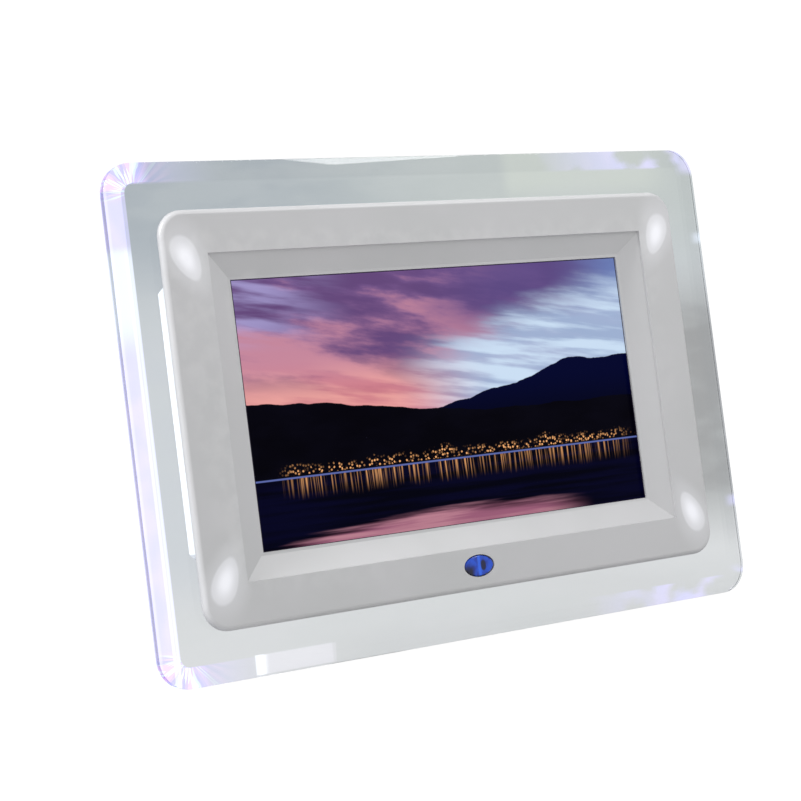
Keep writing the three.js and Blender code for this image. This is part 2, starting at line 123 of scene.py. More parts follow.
def activate(piece):
    """Makes a piece the only selected one."""
    bpy.ops.object.select_all(action="DESELECT")
    piece.select_set(True)
    bpy.context.view_layer.objects.active = piece


def settle(piece):
    """Puts a piece's place, turn and size into its mesh."""
    activate(piece)
    bpy.ops.object.transform_apply(location=True, rotation=True, scale=True)
    return piece


def box(name, x, y, z):
    """A box over three ranges, each a pair of low and high."""
    bpy.ops.object.select_all(action="DESELECT")
    middle = [(low + high) / 2 for low, high in (x, y, z)]
    size = [high - low for low, high in (x, y, z)]
    bpy.ops.mesh.primitive_cube_add(size=1, location=middle, scale=size)
    bpy.context.object.name = name
    return settle(bpy.context.object)


def rod(name, radius, x, y, z, sides=32, squash=1):
    """An upright rod between two heights. squash flattens it along y into an oval."""
    bpy.ops.object.select_all(action="DESELECT")
    low, high = z
    bpy.ops.mesh.primitive_cylinder_add(
        vertices=sides,
        radius=radius,
        depth=high - low,
        location=(x, y, (low + high) / 2),
        scale=(1, squash, 1),
    )
    bpy.context.object.name = name
    return settle(bpy.context.object)


def choose(piece, kind, wanted):
    """Opens a piece for editing with only the wanted vertices, edges or faces selected."""
    activate(piece)
    bpy.ops.object.mode_set(mode="EDIT")
    bpy.ops.mesh.select_mode(type=kind)
    bpy.ops.mesh.select_all(action="DESELECT")
    mesh = bmesh.from_edit_mesh(piece.data)
    parts = {"VERT": mesh.verts, "EDGE": mesh.edges, "FACE": mesh.faces}[kind]
    for part in parts:
        if wanted(part):
            part.select_set(True)
    mesh.select_flush_mode()
    bmesh.update_edit_mesh(piece.data)


def close(piece):
    """Ends the editing that choose began."""
    bpy.ops.object.mode_set(mode="OBJECT")
    return piece


def runs_along_z(edge):
    first, second = (vertex.co for vertex in edge.verts)
    return (first - second).xy.length < tiny


def faces_front(face):
    return face.normal.z > 0.9


def slab(name, x, y, z, corner, segments=8):
    """A flat box with its four upright corners rounded."""
    piece = box(name, x, y, z)
    choose(piece, "EDGE", runs_along_z)
    bpy.ops.mesh.bevel(offset=corner, segments=segments, affect="EDGES")
    return close(piece)


def around(half_x, half_y):
    """The x and y ranges of a rectangle about the panel's middle."""
    return (-half_x, half_x), (-half_y, half_y)


def combine(piece, operation, tools):
    for tool in tools:
        modifier = piece.modifiers.new(operation.lower(), "BOOLEAN")
        modifier.operation = operation
        modifier.object = tool
        modifier.solver = "EXACT"
        activate(piece)
        bpy.ops.object.modifier_apply(modifier=modifier.name)
        bpy.data.objects.remove(tool)
    return piece


def join(pieces, name):
    """Several pieces as one mesh, under a new name."""
    activate(pieces[0])
    for piece in pieces:
        piece.select_set(True)
    bpy.ops.object.join()
    pieces[0].name = name
    return pieces[0]


def bar_mark(name, x, y, half_x, half_y, z):
    """A small bar about a place on the face."""
    return box(name, (x - half_x, x + half_x), (y - half_y, y + half_y), z)


def shade(piece, sharper_than=30):
    """Smooth shading over the rounded edges, with the broad faces kept flat."""
    activate(piece)
    bpy.ops.object.shade_smooth_by_angle(angle=math.radians(sharper_than))
    level = piece.modifiers.new("level", "WEIGHTED_NORMAL")
    level.keep_sharp = True
    bpy.ops.object.modifier_apply(modifier=level.name)
    return piece


def soften(piece, width, segments=2, sharper_than=30):
    """Rounds every edge that turns more sharply than an angle in degrees."""
    modifier = piece.modifiers.new("soften", "BEVEL")
    modifier.width = width
    modifier.segments = segments
    modifier.limit_method = "ANGLE"
    modifier.angle_limit = math.radians(sharper_than)
    modifier.use_clamp_overlap = True
    activate(piece)
    bpy.ops.object.modifier_apply(modifier=modifier.name)
    return shade(piece, sharper_than)


def stand_up(piece):
    """Moves a finished piece from the panel's frame into the standing one."""
    piece.matrix_world = to_world
    return settle(piece)


def dress(piece, material, body="frame", replaces=()):
    """Gives a piece its material, ties it to its body and hides the CAD nodes it stands for."""
    piece.data.materials.clear()
    piece.data.materials.append(material)
    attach(piece, body)
    if replaces:
        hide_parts(*replaces)
    return piece


def merged_copy(node, name):
    """A CAD node's shape as a new piece, its corners joined."""
    piece = bpy.data.objects.new(name, frame["nodes"][node].data.copy())
    bpy.context.scene.collection.objects.link(piece)
    choose(piece, "VERT", lambda corner: True)
    bpy.ops.mesh.remove_doubles(threshold=2 * tiny)
    close(piece)
    bpy.ops.mesh.customdata_custom_splitnormals_clear()
    return piece


def rounded_copy(node, name, edge, segments=2):
    """A CAD node's shape with its flat faces made whole and its edges rounded."""
    piece = merged_copy(node, name)
    choose(piece, "FACE", lambda face: True)
    bpy.ops.mesh.dissolve_limited(angle_limit=math.radians(0.5))
    return soften(close(piece), edge, segments)


# ---------------- node helpers

unlit = "000000"


def colour(code):
    """A colour from its six-figure web code, made linear."""
    shares = [int(code[at : at + 2], 16) / 255 for at in (0, 2, 4)]
    linear = [s / 12.92 if s <= 0.04045 else ((s + 0.055) / 1.055) ** 2.4 for s in shares]
    return (*linear, 1)


def node(tree, kind, sockets=None, **settings):
    """Adds a shader node. Sockets take a plain value or another node's output."""
    made = tree.nodes.new(kind)
    for name, value in settings.items():
        setattr(made, name, value)
    for key, value in (sockets or {}).items():
        feed(made.inputs[key], value)
    return made


def feed(socket, value):
    """Links a value into a socket, or sets it there. A plain colour is given as its code."""
    if isinstance(value, bpy.types.NodeSocket):
        socket.id_data.links.new(value, socket)
    else:
        socket.default_value = colour(value) if isinstance(value, str) else value


def tree_of(*values):
    """The node tree of the first value that is another node's output."""
    return next(value.id_data for value in values if isinstance(value, bpy.types.NodeSocket))


def maths(operation, first, second=0.0):
    sockets = {0: first, 1: second}
    return node(tree_of(first, second), "ShaderNodeMath", sockets, operation=operation).outputs[0]


def add(first, *others):
    """The sum of two or more values."""
    for other in others:
        first = maths("ADD", first, other)
    return first


def times(first, *others):
    """The product of two or more values."""
    for other in others:
        first = maths("MULTIPLY", first, other)
    return first


def absolute(value):
    return maths("ABSOLUTE", value)


def fade(value, start, end):
    """A smooth mask that is 0 at start and 1 at end."""
    sockets = {"Value": value, "From Min": start, "From Max": end}
    ramp = node(tree_of(value), "ShaderNodeMapRange", sockets, interpolation_type="SMOOTHSTEP")
    return ramp.outputs[0]


def blend(mask, under, over):
    """One colour over another, where the mask is 1."""
    mixer = node(tree_of(mask), "ShaderNodeMix", {0: mask}, data_type="RGBA")
    under_socket, over_socket = (s for s in mixer.inputs if s.type == "RGBA")
    feed(under_socket, under)
    feed(over_socket, over)
    return next(s for s in mixer.outputs if s.type == "RGBA")


def tones(value, start, end, first, second):
    """From one colour code to another while a value goes from start to end."""
    return blend(fade(value, start, end), first, second)


def tint(under, mask, share, code):
    """A colour with another laid over a share of it, where the mask is 1."""
    return blend(times(mask, share), under, code)


def noise(place, scale, detail=2.0, rough=0.5):
    sockets = {"Vector": place, "Scale": scale, "Detail": detail, "Roughness": rough}
    return node(tree_of(place), "ShaderNodeTexNoise", sockets).outputs["Fac"]


def vector(x, y, z=0.0):
    return node(tree_of(x, y, z), "ShaderNodeCombineXYZ", {0: x, 1: y, 2: z}).outputs[0]


def split(value):
    """The x, y and z of a vector, or the three channels of a colour."""
    return node(tree_of(value), "ShaderNodeSeparateXYZ", {0: value}).outputs


def distance(x, y):
    """How far a place is from the middle, from its two offsets."""
    length = node(tree_of(x, y), "ShaderNodeVectorMath", {0: vector(x, y)}, operation="LENGTH")
    return length.outputs["Value"]


def face_noise(x, y, across, up, layer=0.0, detail=3.0):
    """Noise over the face, with its own scale across it and up it."""
    return noise(vector(times(x, across), times(y, up), layer), 1.0, detail)


def line_noise(x, across, layer, detail):
    """Noise that only changes along x."""
    return noise(vector(times(x, across), layer), 1.0, detail)


def cells(x, y, scale, **settings):
    """Flat cells over the face, each with its own colour and a distance inside it."""
    sockets = {"Vector": vector(x, y), "Scale": scale}
    settings["voronoi_dimensions"] = "2D"
    return node(tree_of(x, y), "ShaderNodeTexVoronoi", sockets, **settings).outputs


def object_place(shader):
    return node(shader.id_data, "ShaderNodeTexCoord").outputs["Object"]


def panel_place(shader):
    """A point's x, y and z in the panel's frame, in millimetres."""
    sockets = {
        "Vector": object_place(shader),
        "Location": panel_origin,
        "Rotation": panel_turn.to_euler(),
        "Scale": (mm, mm, mm),
    }
    turned = node(shader.id_data, "ShaderNodeMapping", sockets, vector_type="TEXTURE")
    return split(turned.outputs[0])


def new_group(name, inputs, outputs):
    """A node group with named float or vector inputs and float outputs."""
    group = bpy.data.node_groups.new(name, "ShaderNodeTree")
    for label, kind in inputs.items():
        group.interface.new_socket(label, in_out="INPUT", socket_type=kind)
    for label in outputs:
        group.interface.new_socket(label, in_out="OUTPUT", socket_type="NodeSocketFloat")
    return group, group.nodes.new("NodeGroupInput"), group.nodes.new("NodeGroupOutput")


def use_group(group, place, **sockets):
    """Puts a node group in a place's material. Spaces in a socket's name are written as _."""
    placed = tree_of(place).nodes.new("ShaderNodeGroup")
    placed.node_tree = group
    feed(placed.inputs["Place"], place)
    for label, value in sockets.items():
        feed(placed.inputs[label.replace("_", " ")], value)
    return placed.outputs


def new_material(name, shine, metal=0.0):
    """A material and its shader, with a plain roughness to start from."""
    material = bpy.data.materials.new(name)
    material.use_nodes = True
    shader = material.node_tree.nodes["Principled BSDF"]
    shader.inputs["Roughness"].default_value = shine
    shader.inputs["Metallic"].default_value = metal
    return material, shader


def bump(shader, height, depth, strength=1.0):
    sockets = {"Height": height, "Distance": depth, "Strength": strength}
    feed(shader.inputs["Normal"], node(shader.id_data, "ShaderNodeBump", sockets).outputs[0])


def light_up(shader, shade, strength):
    """Makes a finish give off light."""
    feed(shader.inputs["Emission Color"], shade)
    shader.inputs["Emission Strength"].default_value = strength


def roughen(shader, least, mask, more):
    """Roughness that rises from its least value with a mask."""
    feed(shader.inputs["Roughness"], add(least, times(mask, more)))


# ---------------- effects shared by finishes


def make_surface_group():
    """Fine moulded grain, broad tone changes and faint handling marks."""
    inputs = {"Place": "NodeSocketVector", "Grain Size": "NodeSocketFloat"}
    group, given, result = new_group("moulded_surface", inputs, ["Grain", "Tone", "Handling"])
    place = given.outputs["Place"]
    grain_scale = maths("DIVIDE", 1.0, given.outputs["Grain Size"])
    feed(result.inputs["Grain"], noise(place, grain_scale, detail=3.0))
    feed(result.inputs["Tone"], noise(place, 22.0, detail=3.0))
    smears = noise(place, 75.0, detail=5.0, rough=0.65)
    feed(result.inputs["Handling"], fade(smears, 0.45, 0.75))
    return group


def make_wear_group():
    """Where raised edges are rubbed, and where concave creases are darkened."""
    inputs = {"Place": "NodeSocketVector", "Amount": "NodeSocketFloat"}
    group, given, result = new_group("edge_wear", inputs, ["Rubbed", "Crease"])
    curve = node(group, "ShaderNodeNewGeometry").outputs["Pointiness"]
    patches = fade(noise(given.outputs["Place"], 180.0, detail=4.0), 0.35, 0.7)
    raised = fade(curve, 0.53, 0.62)
    rubbed = times(raised, patches, given.outputs["Amount"])
    feed(result.inputs["Rubbed"], rubbed)
    crease = times(fade(curve, 0.47, 0.40), given.outputs["Amount"])
    feed(result.inputs["Crease"], crease)
    return group


def make_dust_group():
    """A thin film of dust on the faces that look up."""
    inputs = {"Place": "NodeSocketVector", "Amount": "NodeSocketFloat"}
    group, given, result = new_group("settled_dust", inputs, ["Dust"])
    normal = node(group, "ShaderNodeNewGeometry").outputs["Normal"]
    upward = split(normal)["Z"]
    specks = fade(noise(given.outputs["Place"], 420.0, detail=5.0, rough=0.7), 0.4, 0.8)
    film = times(fade(upward, 0.5, 1.0), specks, given.outputs["Amount"])
    feed(result.inputs["Dust"], film)
    return group


surface_group = make_surface_group()
wear_group = make_wear_group()
dust_group = make_dust_group()


def moulded(name, shine, dark, light, worn, grain_size, grain_depth, rough, wear, dust):
    """A moulded finish and its shader. The grain's size and depth are in millimetres."""
    material, shader = new_material(name, shine)
    place = object_place(shader)
    surface = use_group(surface_group, place, Grain_Size=grain_size * mm)
    edges = use_group(wear_group, place, Amount=wear)
    film = use_group(dust_group, place, Amount=dust)
    base = tones(surface["Tone"], 0.3, 0.7, dark, light)
    rubbed = blend(edges["Rubbed"], base, worn)
    # Darker in concave creases.
    crease_darkened = tint(rubbed, edges["Crease"], 0.5, "3c3a38")
    feed(shader.inputs["Base Color"], blend(film["Dust"], crease_darkened, "b4b0a8"))
    marked = add(rough, times(surface["Handling"], 0.08))
    feed(shader.inputs["Roughness"], add(marked, times(film["Dust"], 0.3)))
    bump(shader, surface["Grain"], grain_depth * mm)
    return material, shader


# ---------------- plastics and rubber


def make_white_plastic():
    """The housing's plastic, with a painted glow in its side bays where the corner lights leak."""
    material, shader = moulded(
        "white_plastic", 0.4, "cacbcc", "d0d1d2", "e4e4e4",
        grain_size=0.35, grain_depth=0.012, rough=0.42, wear=0.35, dust=0.25,
    )
    bay_starts, bay_is_full = 97.4, 98.4
    x, y, z = panel_place(shader)
    side_bay = fade(absolute(x), bay_starts, bay_is_full)
    # Painted glow: the side bays give off light of their own.
    light_up(shader, blend(side_bay, unlit, "fafaff"), 0.42)
    return material


def make_bezel_plastic():
    """White plastic with a painted glow at its corners, where the lights behind show through."""
    material, shader = moulded(
        "bezel_plastic", 0.36, "b5b6b7", "bababc", "d6d6d6",
        grain_size=0.3, grain_depth=0.008, rough=0.36, wear=0.2, dust=0.1,
    )
    # Painted glow: the corners give off light of their own.
    light_up(shader, blend(painted_corner_glow(shader), unlit, "f4f5ff"), 0.44)
    return material


def painted_corner_glow(shader):
    """A mask of four egg-shaped painted glows, one in each corner, the wide end outermost."""
    glow_x, glow_y = 93.2, 50.2
    half_long, half_wide = 7.6, 4.3
    tilt = math.radians(66)
    x, y, z = panel_place(shader)
    across = add(absolute(x), -glow_x)
    up = add(absolute(y), -glow_y)
    along = add(times(across, math.cos(tilt)), times(up, math.sin(tilt)))
    aside = add(times(across, -math.sin(tilt)), times(up, math.cos(tilt)))
    widening = add(times(along, 0.12), half_wide)
    long_share = times(along, 1 / half_long)
    reach = distance(long_share, maths("DIVIDE", aside, widening))
    window = times(fade(reach, 1.1, 0.9), 0.32)
    core = times(fade(reach, 0.95, 0.15), 0.5)
    halo = times(fade(reach, 2.3, 0.9), 0.18)
    on_face = fade(z, 3.2, 4.0)
    return times(add(window, core, halo), on_face)


def make_black_plastic():
    return moulded(
        "black_plastic", 0.5, "17171a", "202023", "4a4a4c",
        grain_size=0.4, grain_depth=0.02, rough=0.5, wear=0.4, dust=0.2,
    )[0]


def make_grey_rubber():
    return moulded(
        "grey_rubber", 0.85, "c0c2c4", "cbcccd", "d8d8d8",
        grain_size=0.5, grain_depth=0.05, rough=0.82, wear=0.5, dust=0.3,
    )[0]


def make_key_ink():
    return moulded(
        "key_ink", 0.5, "55575c", "606268", "8a8c90",
        grain_size=0.2, grain_depth=0.01, rough=0.5, wear=0.6, dust=0.1,
    )[0]


# ---------------- clear and coloured acrylic


def make_clear_acrylic():
    """Polished sheet, tinted grey-blue, with painted shading across it and painted light from the corner
    lamps in its cut edge band.
    """
    material, shader = new_material("clear_acrylic", 0.02)
    shader.inputs["Transmission Weight"].default_value = 1.0
    shader.inputs["IOR"].default_value = 1.49
    x, y, z = panel_place(shader)
    wide = absolute(x)
    tall = absolute(y)
    band = cut_band(wide, tall)
    lit = times(band, edge_light(x, y, tall))
    # Painted shade: the band darker above its lowest part.
    shaded_band = times(band, fade(y, -72.0, -58.0))
    sheet = tint(painted_sheet_shading(x, y), shaded_band, 0.12, "9ca4aa")
    # Painted light: the cut band pale lilac where the corner lamps show in it.
    feed(shader.inputs["Base Color"], blend(lit, sheet, "dadaf4"))
    # Painted glow given off by the cut band.
    light_up(shader, edge_glow(x, y, wide, tall, lit), 1.0)
    roughen(shader, 0.015, noise(object_place(shader), 900.0, detail=4.0), 0.03)
    return material


def cut_band(wide, tall):
    """A mask of the sloping band round the sheet's front, with its rounded inner corners."""
    inner_corner = (plate_corner - plate_bevel) / mm
    start_x = (plate_high.x - plate_corner) / mm
    start_y = (plate_high.y - plate_corner) / mm
    past_x = maths("MAXIMUM", add(wide, -start_x), 0.0)
    past_y = maths("MAXIMUM", add(tall, -start_y), 0.0)
    blur = 0.15
    return fade(distance(past_x, past_y), inner_corner - blur, inner_corner + blur)


def painted_sheet_shading(x, y):
    """Painted shading of the surroundings seen through the sheet: blue-grey at the top left, grey at the
    right, palest low down.
    """
    top = tones(x, -85.0, 30.0, "bec8d0", "dae2e1")
    sheet = blend(fade(y, 68.0, 18.0), top, "e2e8ee")
    # Painted shade over the upper right.
    painted_far_shade = times(fade(x, 60.0, 106.0), fade(y, 45.0, 15.0))
    sheet = blend(painted_far_shade, sheet, "b3b5b6")
    sheet = blend(fade(y, -38.0, -66.0), sheet, "f1f4f6")
    # Painted light: paler along the top of the right half.
    right_half = times(fade(x, 30.0, 36.0), fade(x, 112.0, 90.0))
    above = times(fade(y, 62.0, 72.0), right_half)
    sheet = blend(above, sheet, "e6eee8")
    cloudy = face_noise(x, y, 0.02, 0.05)
    return tint(sheet, fade(cloudy, 0.42, 0.62), 0.25, "e8eeee")


def edge_light(x, y, tall):
    """A mask of painted light from the corner lamps in the cut edge, most on the left, with painted
    glints at the right.
    """
    left = fade(x, -96.0, -110.0)
    left_ends = times(fade(x, -74.0, -100.0), 0.25)
    broken = fade(face_noise(x, y, 0.07, 0.07), 0.42, 0.56)
    at_end = times(fade(tall, 71.0, 74.5), fade(x, 38.0, 92.0))
    right_ends = times(at_end, broken, 0.6)
    by_glint = fade(absolute(add(tall, -48.5)), 3.0, 0.5)
    strongest = times(by_glint, fade(x, 112.0, 115.0), 0.4)
    for light in (right_ends, left_ends, left):
        strongest = maths("MAXIMUM", strongest, light)
    return strongest


def painted_corner_streaks(wide, tall):
    """Painted refraction streaks: cells of blue, violet and pale green that fan out from the band's
    corners.
    """
    fan_inset = 3.0
    out_x = add(wide, fan_inset - band_start_x)
    out_y = add(tall, fan_inset - band_start_y)
    angle = times(maths("ARCTAN2", out_y, out_x), 9.0)
    reach = times(add(out_x, out_y), 0.16)
    facets = cells(angle, reach, 1.0)
    pick = split(facets["Color"])["X"]
    facet = tones(pick, 0.3, 0.34, "5c58b0", "a47cc0")
    return blend(fade(pick, 0.74, 0.78), facet, "b8d8d4")


def edge_glow(x, y, wide, tall, lit):
    """Painted glow of the cut edge: lilac, with painted refraction facets at the left corners and a
    painted white highlight line.
    """
    soft = tones(face_noise(x, y, 0.12, 0.06, detail=2.0), 0.42, 0.62, "7c7ca8", "8c84ac")
    pale_patch = times(fade(y, 56.0, 52.0), fade(y, 20.0, 34.0))
    soft = tint(soft, pale_patch, 0.85, "a0b0ac")
    left = fade(x, 0.0, -10.0)
    at_corner = times(fade(wide, 90.0, 101.0), fade(tall, 68.0, 74.0), left)
    shade = blend(at_corner, soft, painted_corner_streaks(wide, tall))
    glow = blend(times(lit, 0.7), unlit, shade)

    # Painted highlight: a pale line along the band's inner border, on the left.
    line = times(fade(wide, band_start_x + 1.3, band_start_x + 0.9),
                 fade(wide, band_start_x - 0.1, band_start_x + 0.3))
    glow = tint(glow, times(line, fade(y, 56.0, 50.0), left), 0.8, "aeb4be")
    # Painted reflection along the sheet's outermost edge.
    outermost = times(fade(wide, 115.6, 116.3), fade(x, 200.0, -350.0))
    glow = blend(outermost, glow, "9a9aac")
    # Painted reflection of the white studio, low on the left.
    painted_pane = tones(x, -80.0, -83.0, "48444c", "a0a4a8")
    return blend(painted_studio_reflection(x, y), glow, painted_pane)


def painted_studio_reflection(x, y):
    """A mask of painted reflection: a pale oblong low on the left, where the sheet's end catches the
    white studio.
    """
    left, right = -84.0, -56.3
    blur = 0.3
    sides = times(fade(x, left - blur, left + blur), fade(x, right + blur, right - blur))
    under_bend = fade(y, 0.4 - band_start_y, -band_start_y)
    over_rim = fade(y, -81.0, -80.4)
    return times(sides, under_bend, over_rim)


def make_blue_acrylic():
    """Deep blue window that lets infrared through, the receiver just showing inside."""
    material, shader = new_material("blue_acrylic", 0.12)
    x, y, z = panel_place(shader)
    across = add(x, -lens_middle.x / mm)
    up = add(y, -lens_middle.y / mm)
    depth = noise(vector(across, up), 0.35, detail=2.0)
    base = tones(depth, 0.35, 0.65, "0b2c94", "144cc8")
    off_dome = distance(times(add(across, -1.6), 0.85), times(up, 0.5))
    with_dome = blend(fade(off_dome, 1.1, 0.7), base, "060c3c")
    bar = times(fade(across, -0.9, -0.2), fade(across, 0.9, 0.3))
    with_bar = tint(with_dome, bar, 0.8, "2a66e8")
    left_shade = times(fade(across, -1.2, -3.4), fade(up, 2.0, -1.5))
    feed(shader.inputs["Base Color"], blend(left_shade, with_bar, "050b30"))
    shader.inputs["Coat Weight"].default_value = 0.5
    shader.inputs["Coat Roughness"].default_value = 0.05
    shader.inputs["Specular IOR Level"].default_value = 0.3
    roughen(shader, 0.1, noise(object_place(shader), 1500.0), 0.05)
    return material


def make_lamp_resin():
    """Milky resin of a lit lamp."""
    material, shader = new_material("lamp_resin", 0.25)
    swirl = noise(object_place(shader), 700.0, detail=3.0)
    shade = tones(swirl, 0.35, 0.65, "c9ccf4", "e4e6ff")
    feed(shader.inputs["Base Color"], shade)
    light_up(shader, shade, 1.5)
    return material


# ---------------- the picture on the screen


def make_picture():
    """A dusk scene of clouds, two ridges, a lit shore and a lake, inside a thin dark edge: the screen's
    border and painted shadow of the lip.
    """
    material, shader = new_material("screen_picture", 0.2)
    x, y, z = panel_place(shader)
    half_x = screen_half_x / mm
    half_y = screen_half_y / mm
    shore = -0.49 * half_y

    picture = paint_sky(x, y, half_y)
    picture = paint_lake(picture, x, y, shore, half_y)
    picture = paint_ridges(picture, x, y, shore, half_x)
    picture = paint_town(picture, x, y, shore)
    # The dark edge: the screen's border, with painted shadow of the opening's lip.
    off_middle = absolute(add(x, -0.8))
    inside_x = fade(off_middle, half_x - 0.25, half_x - 0.4)
    inside_y = fade(absolute(y), half_y - 0.1, half_y - 0.25)
    picture = blend(times(inside_x, inside_y), "2c2634", picture)

    shader.inputs["Base Color"].default_value = colour("020203")
    light_up(shader, picture, 1.0)
    shader.inputs["Specular IOR Level"].default_value = 0.02
    roughen(shader, 0.15, noise(object_place(shader), 60.0, detail=3.0), 0.1)
    return material


def paint_sky(x, y, half_y):
    """Long slanting clouds, violet above and rose below, with a pale clearing on the right."""
    slant = add(y, times(x, 0.16))
    stretched = vector(times(x, 0.014), times(slant, 0.06))
    clouds = noise(stretched, 1.0, detail=7.0, rough=0.55)
    wisps = face_noise(x, slant, 0.02, 0.17, layer=4.0, detail=6.0)
    sky = tones(y, 0.0, half_y, "c2849a", "785a90")
    sky = blend(fade(clouds, 0.56, 0.42), sky, "64487a")
    rose = times(fade(clouds, 0.48, 0.60), fade(x, 45.0, -30.0))
    sky = tint(sky, rose, 0.8, "cc8c9e")
    dusky = times(fade(x, -15.0, 30.0), fade(y, 16.0, 34.0))
    sky = tint(sky, dusky, 0.75, "5a4a84")
    ragged = times(add(clouds, -0.5), 30.0)
    far_corner = times(fade(add(x, ragged), 44.0, 84.0), fade(y, 20.0, 36.0))
    sky = tint(sky, far_corner, 0.85, "6c84bc")
    under_cloud = add(y, times(x, -0.22), ragged)
    clearing = times(fade(x, -24.0, 14.0), fade(under_cloud, 25.0, 9.0))
    sky = tint(sky, clearing, 0.85, "a6bcdc")
    open_sky = times(clearing, fade(wisps, 0.42, 0.58))
    sky = tint(sky, open_sky, 0.9, "cfe3f7")
    left_gap = times(fade(x, -30.0, -70.0), fade(y, 18.0, 30.0))
    left_wisps = times(left_gap, fade(wisps, 0.38, 0.60))
    sky = tint(sky, left_wisps, 0.7, "b0a8dc")
    low_glow = times(fade(y, 18.0, 2.0), fade(x, 22.0, -30.0))
    ember = tones(wisps, 0.4, 0.6, "d48088", "f8aca2")
    return blend(times(low_glow, 0.85), sky, ember)


def paint_lake(picture, x, y, shore, half_y):
    """Dark water with a soft rose reflection low down."""
    below = fade(y, shore + 0.1, shore - 0.1)
    ripples = face_noise(x, y, 0.02, 0.4, layer=9.0, detail=5.0)
    water = tones(ripples, 0.35, 0.65, "00000c", "030320")
    arch = maths("POWER", times(add(x, -2.0), 0.012), 2.0)
    wavy = add(y, times(arch, 8.0), times(add(ripples, -0.5), -9.0))
    rose = times(fade(wavy, -half_y * 0.83, -half_y * 0.92), fade(x, 56.0, 30.0))
    rosy = tones(ripples, 0.4, 0.6, "a0627c", "c08494")
    return blend(below, picture, blend(times(rose, 0.9), water, rosy))


def below_line(y, height):
    """A mask that is 1 under a line whose height changes along x."""
    return fade(maths("SUBTRACT", height, y), -0.15, 0.15)


def paint_ridges(picture, x, y, shore, half_x):
    """A near ridge falling from the left and a far one that climbs to a peak."""
    above = fade(y, shore - 0.1, shore + 0.1)
    climb = times(fade(x, -40.0, 80.0), 15.5)
    peak = times(fade(x, 34.0, 50.0), fade(x, 68.0, 52.0), 2.5)
    rough_far = times(line_noise(x, 0.09, 3.0, detail=7.0), 3.5)
    far = add(climb, peak, rough_far, -8.5)
    far_tone = tones(y, -14.0, 6.0, "000114", "01042c")
    picture = blend(times(above, below_line(y, far)), picture, far_tone)
    fall = times(fade(x, -half_x, 30.0), -9.0)
    rough_near = times(line_noise(x, 0.05, 11.0, detail=6.0), 5.0)
    near = add(fall, rough_near, 0.5)
    slope = tones(face_noise(x, y, 0.04, 0.1), 0.35, 0.7, "010006", "04030e")
    return blend(times(above, below_line(y, near)), picture, slope)


def along_shore(x):
    """A mask of the stretch of shore that the town takes up."""
    return times(fade(x, -68.0, -58.0), fade(x, 78.0, 60.0))


def paint_town(picture, x, y, shore):
    """Points of warm light along the far shore, and their streaks in the water."""
    picture = blend(lamp_points(x, y, shore), picture, "ffb878")
    stripes = face_noise(x, y, 1.5, 0.03, layer=5.0, detail=2.0)
    groups = line_noise(x, 0.12, 30.0, detail=1.0)
    reach = add(shore - 9.5, times(groups, 4.0))
    fall = times(fade(y, shore, shore - 0.5),
                 fade(maths("SUBTRACT", y, reach), 0.0, 6.5))
    streak = times(fade(stripes, 0.47, 0.72), fall, along_shore(x))
    picture = tint(picture, streak, 0.9, "e0a068")
    waterline = fade(absolute(add(y, -shore)), 0.4, 0.15)
    return tint(picture, waterline, 0.75, "6878c0")


def lamp_points(x, y, shore):
    """A mask of small lamps, thick near the water and thinning up the slope."""
    grid = cells(x, y, 1.05)
    dot = fade(grid["Distance"], 0.5, 0.2)
    height = add(times(line_noise(x, 0.09, 21.0, detail=3.0), 10.0), shore - 1.0)
    low = fade(y, shore + 0.5, shore + 1.2)
    in_town = times(low, fade(maths("SUBTRACT", height, y), -0.4, 2.4))
    some = split(grid["Color"])["X"]
    return times(dot, in_town, along_shore(x), fade(some, 0.3, 0.8))


# ---------------- metals, boards and films


def make_steel():
    """Brushed sheet steel, rubbed brighter on its edges."""
    material, shader = new_material("steel", 0.32, metal=1.0)
    place = object_place(shader)
    edges = use_group(wear_group, place, Amount=0.5)
    sockets = {"Vector": place, "Scale": (90.0, 2200.0, 2200.0)}
    brushed = node(tree_of(place), "ShaderNodeMapping", sockets).outputs[0]
    lines = noise(brushed, 1.0, detail=3.0)
    base = tones(noise(place, 120.0, detail=4.0), 0.35, 0.7, "a2a5a8", "b9bbbd")
    feed(shader.inputs["Base Color"], blend(edges["Rubbed"], base, "dcdcdc"))
    roughen(shader, 0.24, lines, 0.2)
    bump(shader, lines, 0.01 * mm)
    return material


def make_copper():
    """Enamelled winding wire."""
    material, shader = new_material("copper", 0.4, metal=0.9)
    place = object_place(shader)
    sockets = {"Vector": place, "Scale": 900.0, "Distortion": 0.6}
    wound = node(tree_of(place), "ShaderNodeTexWave", sockets)
    dull = noise(place, 200.0, detail=4.0)
    feed(shader.inputs["Base Color"], tones(dull, 0.3, 0.7, "8c4f2a", "c47a48"))
    roughen(shader, 0.3, dull, 0.25)
    bump(shader, wound.outputs["Fac"], 0.05 * mm)
    return material


def make_green_board():
    """Solder mask with fine copper tracks under it."""
    material, shader = new_material("green_board", 0.4)
    x, y, z = panel_place(shader)
    between = cells(x, y, 0.35, feature="DISTANCE_TO_EDGE", distance="MANHATTAN")
    tracks = fade(between["Distance"], 0.09, 0.05)
    pad = fade(cells(x, y, 0.3)["Distance"], 0.14, 0.1)
    mask = noise(object_place(shader), 90.0, detail=3.0)
    base = tint(tones(mask, 0.3, 0.7, "155a2e", "1d7040"), tracks, 0.6, "3c9a58")
    feed(shader.inputs["Base Color"], blend(pad, base, "cfcfc4"))
    roughen(shader, 0.34, mask, 0.15)
    bump(shader, tracks, 0.03 * mm)
    return material


def make_white_film():
    return moulded(
        "white_film", 0.6, "e6e6e0", "f2f2ee", "f6f6f2",
        grain_size=0.8, grain_depth=0.01, rough=0.55, wear=0.1, dust=0.0,
    )[0]


